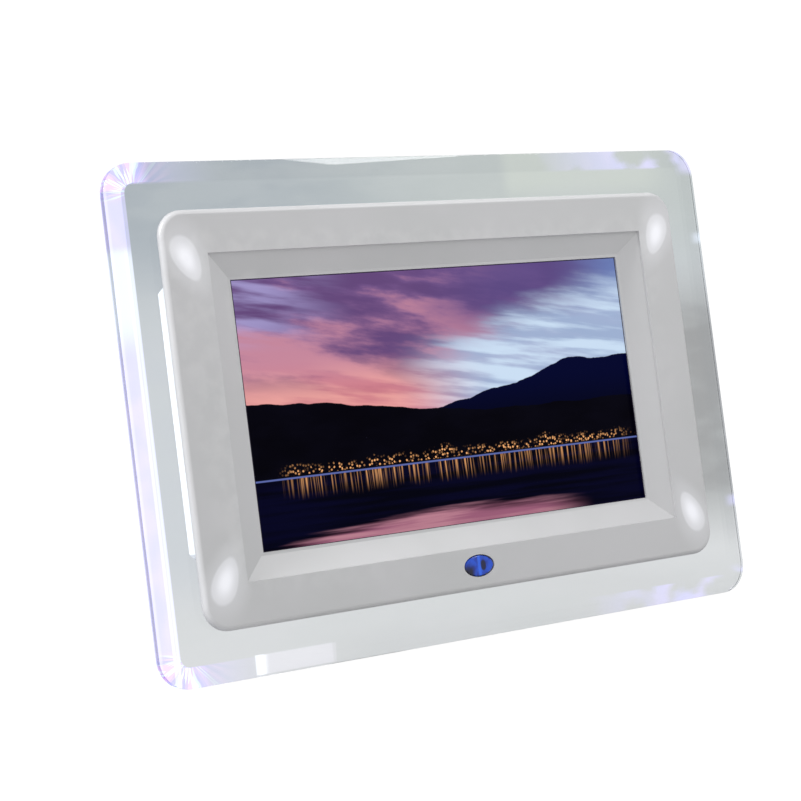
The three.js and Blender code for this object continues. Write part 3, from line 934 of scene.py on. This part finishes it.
def make_cable_film():
    """Amber film with conductors showing as fine stripes."""
    material, shader = new_material("cable_film", 0.35)
    x, y, z = panel_place(shader)
    conductor_pitch = 0.9
    stripe = maths("SINE", times(x, math.tau / conductor_pitch))
    feed(shader.inputs["Base Color"], tones(stripe, -0.2, 0.2, "8a5218", "c98a3c"))
    roughen(shader, 0.28, noise(object_place(shader), 300.0, detail=3.0), 0.15)
    bump(shader, stripe, 0.02 * mm)
    return material


white_plastic = make_white_plastic()
bezel_plastic = make_bezel_plastic()
black_plastic = make_black_plastic()
grey_rubber = make_grey_rubber()
key_ink = make_key_ink()
clear_acrylic = make_clear_acrylic()
blue_acrylic = make_blue_acrylic()
lamp_resin = make_lamp_resin()
screen_picture = make_picture()
steel = make_steel()
copper = make_copper()
green_board = make_green_board()
white_film = make_white_film()
cable_film = make_cable_film()


# ---------------- clear surround


def make_surround():
    """The clear sheet: a wide cut band round its front, and the window the bezel fills."""
    low, high = plate_low, plate_high
    sheet = slab(
        "clear_surround", (low.x, high.x), (low.y, high.y), (low.z, high.z - plate_rise),
        plate_corner, segments=9,
    )
    choose(sheet, "FACE", faces_front)
    bpy.ops.mesh.inset(thickness=plate_bevel, depth=plate_rise)
    close(sheet)
    through = (low.z - mm, high.z + mm)
    window = slab("window", *around(window_half_x, window_half_y), through, 6 * mm, segments=6)
    notch_half_x = 8 * mm  # the sheet is open behind the receiver's window too
    notch_y = (-62.2 * mm, -50 * mm)
    notch = box("notch", (-notch_half_x, notch_half_x), notch_y, through)
    combine(sheet, "DIFFERENCE", [window, notch])
    soften(sheet, 0.25 * mm, sharper_than=40)
    return dress(stand_up(sheet), clear_acrylic, replaces=["acrylic_plate"])


# ---------------- bezel


def make_funnel():
    """The tool that opens the bezel, from the picture's edge out over lip, slope and step."""
    tool = box("funnel", *around(screen_half_x, screen_half_y), (-5 * mm, 0.1 * mm))
    half_x, half_y = screen_half_x, screen_half_y
    front = bezel_high.z
    outline = [
        (lip, lip, 0.25 * mm),
        (slope_x, slope_y, front - step_depth),
        (slope_x + 0.2 * mm, slope_y + 0.2 * mm, front + mm),
    ]
    height = 0.1 * mm
    for spread_x, spread_y, top in outline:
        choose(tool, "FACE", faces_front)
        bpy.ops.mesh.extrude_region_move(TRANSFORM_OT_translate={"value": (0, 0, top - height)})
        wider_x = (screen_half_x + spread_x) / half_x
        wider_y = (screen_half_y + spread_y) / half_y
        bpy.ops.transform.resize(value=(wider_x, wider_y, 1), center_override=(0, 0, 0))
        close(tool)
        half_x, half_y = screen_half_x + spread_x, screen_half_y + spread_y
        height = top
    return tool


def is_front_rim(edge):
    """True for the edges round a slab's front face."""
    return all(abs(vertex.co.z - bezel_high.z) < tiny for vertex in edge.verts)


def screw_rods(name, radius, z, sides=32):
    """A rod on the line of each of the four case screws."""
    return [
        rod(name, radius, side * screw_x, end * screw_y, z, sides) for side in (-1, 1) for end in (-1, 1)
    ]


def make_bezel():
    """The moulded front: its rounded face, the collar behind it and four screw bosses."""
    low, high = bezel_low, bezel_high
    face = slab(
        "bezel", (low.x, high.x), (low.y, high.y), (bezel_back, high.z), bezel_corner, segments=10,
    )
    choose(face, "EDGE", is_front_rim)
    bpy.ops.mesh.bevel(offset=bezel_round, segments=6, affect="EDGES")
    close(face)

    collar_x = window_half_x - collar_gap
    collar_y = window_half_y - collar_gap
    collar_back, pocket_back, core_back = -0.6 * mm, -5 * mm, -6 * mm
    collar = slab(
        "collar", *around(collar_x, collar_y), (collar_back, bezel_back + mm), 5 * mm, segments=5,
    )
    bosses = screw_rods("boss", 3 * mm, (low.z, bezel_back + 0.5 * mm))
    combine(face, "UNION", [collar])
    inside = around(collar_x - collar_wall, collar_y - collar_wall)
    pocket = slab("pocket", *inside, (pocket_back, bezel_back), 4 * mm)
    border = around(screen_half_x + border_wall, screen_half_y + border_wall)
    core = slab("core", *border, (core_back, bezel_back + mm), mm)
    combine(pocket, "DIFFERENCE", [core])
    bay_half_x = 7.4 * mm
    bay_y = (-62 * mm, -51 * mm)
    bay = box("bay", (-bay_half_x, bay_half_x), bay_y, (pocket_back, bezel_back))
    hole_x, hole_y = 6 * mm, 3.7 * mm
    hole_z = (0, high.z + mm)
    lens_hole = rod("lens_hole", hole_x, 0, lens_middle.y, hole_z, sides=64, squash=hole_y / hole_x)
    combine(face, "DIFFERENCE", [make_funnel(), pocket, bay, lens_hole])
    combine(face, "UNION", bosses)
    combine(face, "DIFFERENCE", screw_rods("pilot", 1.3 * mm, (low.z - mm, mm), sides=16))
    soften(face, 0.18 * mm, sharper_than=25)
    return dress(stand_up(face), bezel_plastic, replaces=["front_bezel"])


def make_lens():
    """The receiver's window: an oval plug with a slightly domed front, and its flange."""
    plug_x, plug_y = 5.7 * mm, 3.4 * mm
    flange_x, flange_y = 6.8 * mm, 4.2 * mm
    flange_top = plate_high.z
    plug_z = (flange_top - 0.5 * mm, lens_high.z)
    plug = rod("receiver_window", plug_x, 0, lens_middle.y, plug_z, 64, squash=plug_y / plug_x)
    choose(plug, "FACE", faces_front)
    bpy.ops.mesh.bevel(offset=0.5 * mm, segments=4, affect="EDGES")
    close(plug)
    flange_z = (lens_low.z, flange_top)
    flange = rod("flange", flange_x, 0, lens_middle.y, flange_z, 64, squash=flange_y / flange_x)
    combine(plug, "UNION", [flange])
    soften(plug, 0.1 * mm)
    return dress(stand_up(plug), blue_acrylic, replaces=["ir_window"])


# ---------------- rear housing


def is_outline_edge(edge):
    """True for a sharp edge of the housing's outline, away from its slots and sockets."""
    corners = [to_panel @ vertex.co for vertex in edge.verts]
    outside = all(abs(at.x) > slots_end_x or abs(at.y) > slots_end_y for at in corners)
    at_sockets = all(
        at.x > socket_wall_x and sockets_back < at.z < sockets_front for at in corners
    )
    sharp = edge.is_manifold and edge.calc_face_angle() > math.radians(30)
    return outside and sharp and not at_sockets


def make_housing():
    """The moulded back, with the sharp edges of its outline rounded."""
    shell = merged_copy("rear_cover", "rear_housing")
    choose(shell, "EDGE", is_outline_edge)
    bpy.ops.mesh.bevel(offset=0.35 * mm, segments=3, affect="EDGES")
    shade(close(shell))
    return dress(shell, white_plastic, replaces=["rear_cover"])


def cross_recess(name, middle, reach, back, depth):
    """Two crossed bars, cut into a screw's head for the driver."""
    half_bar = 0.35 * mm
    x, y = middle
    z = (back - mm, back + depth)
    upright = bar_mark(name, x, y, half_bar, reach, z)
    level = bar_mark(name, x, y, reach, half_bar, z)
    return combine(upright, "UNION", [level])


def make_case_screw():
    """One pan-head screw at the panel's top left, from its CAD node."""
    low, high = panel_box("case_screw_top_left")
    x, y, z = (low + high) / 2
    head_radius, head_height = 2.6 * mm, 1.6 * mm
    head_front = low.z + head_height
    screw = rod("case_screw", head_radius, x, y, (low.z, head_front), sides=40)
    choose(screw, "FACE", lambda face: face.normal.z < -0.9)
    bpy.ops.mesh.bevel(offset=0.9 * mm, segments=5, affect="EDGES")
    close(screw)
    combine(screw, "DIFFERENCE", [cross_recess("recess", (x, y), 1.5 * mm, low.z, 0.9 * mm)])
    combine(screw, "UNION", [rod("shank", mm, x, y, (head_front - 0.2 * mm, high.z), sides=20)])
    return soften(screw, 0.06 * mm)


def make_case_screws():
    """The screw modelled once, then copied to the other corners."""
    pattern = make_case_screw()
    home_low, home_high = panel_box("case_screw_top_left")
    for corner in ("top_left", "top_right", "bottom_left", "bottom_right"):
        name = f"case_screw_{corner}"
        screw = pattern.copy()
        screw.data = pattern.data.copy()
        screw.name = f"pan_head_{corner}"
        bpy.context.scene.collection.objects.link(screw)
        low, high = panel_box(name)
        screw.location = (low + high) / 2 - (home_low + home_high) / 2
        dress(stand_up(settle(screw)), steel, replaces=[name])
    bpy.data.objects.remove(pattern)


# ---------------- keys


def arrow_mark(x, y, z, turn):
    """A three-sided arrowhead that points up the face, turned by an angle."""
    bpy.ops.object.select_all(action="DESELECT")
    bpy.ops.mesh.primitive_cylinder_add(
        vertices=3,
        radius=1.7 * mm,
        depth=z[1] - z[0],
        location=(x, y, sum(z) / 2),
        rotation=(0, 0, turn),
    )
    return settle(bpy.context.object)


def ring_mark(x, y, z):
    ring = rod("ring", 1.7 * mm, x, y, z)
    return combine(ring, "DIFFERENCE", [rod("middle", 1.15 * mm, x, y, (z[0] - mm, z[1] + mm))])


def power_mark(x, y, z):
    """A ring broken at the top by a short bar."""
    ring = ring_mark(x, y, z)
    through = (z[0] - mm, z[1] + mm)
    ring = combine(ring, "DIFFERENCE", [bar_mark("break", x, y + 1.5 * mm, 0.7 * mm, mm, through)])
    return combine(ring, "UNION", [bar_mark("bar", x, y + 1.2 * mm, 0.25 * mm, 0.9 * mm, z)])


def menu_mark(x, y, z):
    """Three level bars, one above another."""
    steps = (-1, 0, 1)
    return join([bar_mark("bar", x, y + step * mm, 1.5 * mm, 0.25 * mm, z) for step in steps], "bars")


KEY_MARKS = {
    "up": lambda x, y, z: arrow_mark(x, y, z, 0),
    "down": lambda x, y, z: arrow_mark(x, y, z, math.pi),
    "left": lambda x, y, z: arrow_mark(x, y, z, -math.pi / 2),
    "right": lambda x, y, z: arrow_mark(x, y, z, math.pi / 2),
    "enter": ring_mark,
    "power": power_mark,
    "menu": menu_mark,
}


def make_keys():
    """Each key's rounded cap, with its mark standing just proud of it."""
    for key, make_mark in KEY_MARKS.items():
        node_name = f"key_{key}"
        body = f"{key}_key"
        cap = rounded_copy(node_name, f"{key}_key_cap", 0.4 * mm, segments=3)
        dress(cap, white_plastic, body, replaces=[node_name])
        low, high = panel_box(node_name)
        x, y, z = (low + high) / 2
        mark = make_mark(x, y, (low.z - 0.1 * mm, low.z + 0.2 * mm))
        mark.name = f"{key}_key_mark"
        soften(mark, 0.04 * mm)
        dress(stand_up(mark), key_ink, body)


def make_switch_knob():
    """The slider of the corner-light switch."""
    knob = rounded_copy("light_switch_knob", "switch_knob", 0.15 * mm)
    dress(knob, black_plastic, "light_knob", replaces=["light_switch_knob"])


# ---------------- folding leg

leg_tilt = math.radians(22)  # the open leg's angle from upright
pin_low, pin_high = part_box("stand_pin")
leg_to_world = (
    Matrix.Translation((pin_low + pin_high) / 2) @ Matrix.Rotation(math.pi / 2 + leg_tilt, 4, "X")
)


def make_leg():
    """The moulded leg, with grip ridges across the finger panel on its back."""
    leg = rounded_copy("stand_leg", "leg_moulding", 0.5 * mm, segments=3)
    dress(leg, white_plastic, "stand", replaces=["stand_leg"])
    first_ridge, ridge_pitch = -64 * mm, 2.4 * mm
    rows = [first_ridge - row * ridge_pitch for row in range(7)]
    proud = (-0.3 * mm, 0.4 * mm)
    grip = join([bar_mark("ridge", 0, y, 7 * mm, 0.5 * mm, proud) for y in rows], "leg_grip")
    soften(grip, 0.2 * mm)
    grip.matrix_world = leg_to_world
    dress(settle(grip), white_plastic, "stand")
    pad = rounded_copy("foot_pad", "leg_foot_pad", 0.3 * mm)
    dress(pad, grey_rubber, "stand", replaces=["foot_pad"])


# ---------------- materials of the CAD pieces

CARRIED_OVER = [
    (screen_picture, ["lcd_glass"]),
    (steel, ["lcd_frame", "lcd_back_plate", "timing_crystal", "card_slot", "usb_socket",
             "mini_usb_socket", "light_switch", "stand_pin"]),
    (black_plastic, ["ir_receiver", "processor_chip", "memory_chip", "power_jack",
                     "speaker_left", "speaker_right"]),
    (green_board, ["ir_board", "main_board", "key_board"]),
    (white_film, ["lcd_backlight", "lcd_connector"]),
    (copper, ["power_coil"]),
    (cable_film, ["lcd_flat_cable", "key_cable"]),
]
FAMILIES = {
    "board_screw_": steel,
    "contact_": black_plastic,
    "light_board_": green_board,
    "light_": lamp_resin,
}


def finish_of(name):
    """The material that a carried-over CAD node wears."""
    for material, members in CARRIED_OVER:
        if name in members:
            return material
    return next(material for start, material in FAMILIES.items() if name.startswith(start))


def dress_cad_nodes():
    """Gives every CAD node that still shows its material."""
    for name, piece in frame["nodes"].items():
        if piece.hide_render:
            continue
        piece.data.materials.clear()
        piece.data.materials.append(finish_of(name))


# ---------------- studio


def make_floor():
    bpy.ops.object.select_all(action="DESELECT")
    bpy.ops.mesh.primitive_plane_add(size=30)
    floor = bpy.context.object
    floor.name = "floor"
    material, shader = new_material("pale_floor", 0.6)
    shader.inputs["Base Color"].default_value = colour("b2b2b2")
    tree = material.node_tree
    path = node(tree, "ShaderNodeLightPath").outputs
    straight = path["Is Camera Ray"]
    strength = add(0.8, times(straight, 0.32))
    glow = node(tree, "ShaderNodeEmission", {"Color": "ffffff", "Strength": strength})
    share = times(maths("MAXIMUM", straight, path["Is Transmission Ray"]), 0.88)
    sockets = {0: share, 1: shader.outputs[0], 2: glow.outputs[0]}
    mixed = node(tree, "ShaderNodeMixShader", sockets)
    feed(tree.nodes["Material Output"].inputs["Surface"], mixed.outputs[0])
    floor.data.materials.append(material)


def make_surroundings():
    """A soft white studio that looks a little brighter than it lights."""
    world = bpy.data.worlds.new("studio")
    bpy.context.scene.world = world
    world.use_nodes = True
    tree = world.node_tree
    background = tree.nodes["Background"]
    background.inputs["Color"].default_value = colour("ffffff")
    straight = node(tree, "ShaderNodeLightPath").outputs["Is Camera Ray"]
    feed(background.inputs["Strength"], add(0.8, times(straight, 0.28)))


def add_soft_light(name, place, target, size, power):
    data = bpy.data.lights.new(name, "AREA")
    data.shape = "SQUARE"
    data.size = size
    data.energy = power
    light = bpy.data.objects.new(name, data)
    light.location = place
    light.rotation_euler = (Vector(target) - Vector(place)).to_track_quat("-Z", "Y").to_euler()
    bpy.context.scene.collection.objects.link(light)


def add_camera():
    """Low and from the left of the screen, a little over an arm's length away."""
    turn = math.radians(32.04)
    drop = math.radians(9.31)
    away, to_left, lower = 0.6445, 0.01683, 0.00178
    forward = Vector((
        math.sin(turn) * math.cos(drop),
        math.cos(turn) * math.cos(drop),
        -math.sin(drop),
    ))
    side = Vector((math.cos(turn), -math.sin(turn), 0))
    upward = side.cross(forward)
    data = bpy.data.cameras.new("camera")
    data.lens = 86.29
    data.sensor_width = 36
    camera = bpy.data.objects.new("camera", data)
    camera.location = panel_origin - forward * away - side * to_left - upward * lower
    camera.rotation_euler = Matrix((side, upward, -forward)).transposed().to_euler()
    bpy.context.scene.collection.objects.link(camera)
    bpy.context.scene.camera = camera


make_surround()
make_bezel()
make_lens()
make_housing()
make_case_screws()
make_keys()
make_switch_knob()
make_leg()
dress_cad_nodes()

make_floor()
make_surroundings()
behind_left = Vector((-1.2, 0.25, 1.0))
above_right = panel_origin + Vector((0.24, -0.22, 0.42))
add_soft_light("rim_light", behind_left, panel_origin, size=0.5, power=35)
add_soft_light("face_light", above_right, panel_origin, size=0.2, power=0.95)
add_camera()
bpy.context.scene.view_settings.view_transform = "Standard"
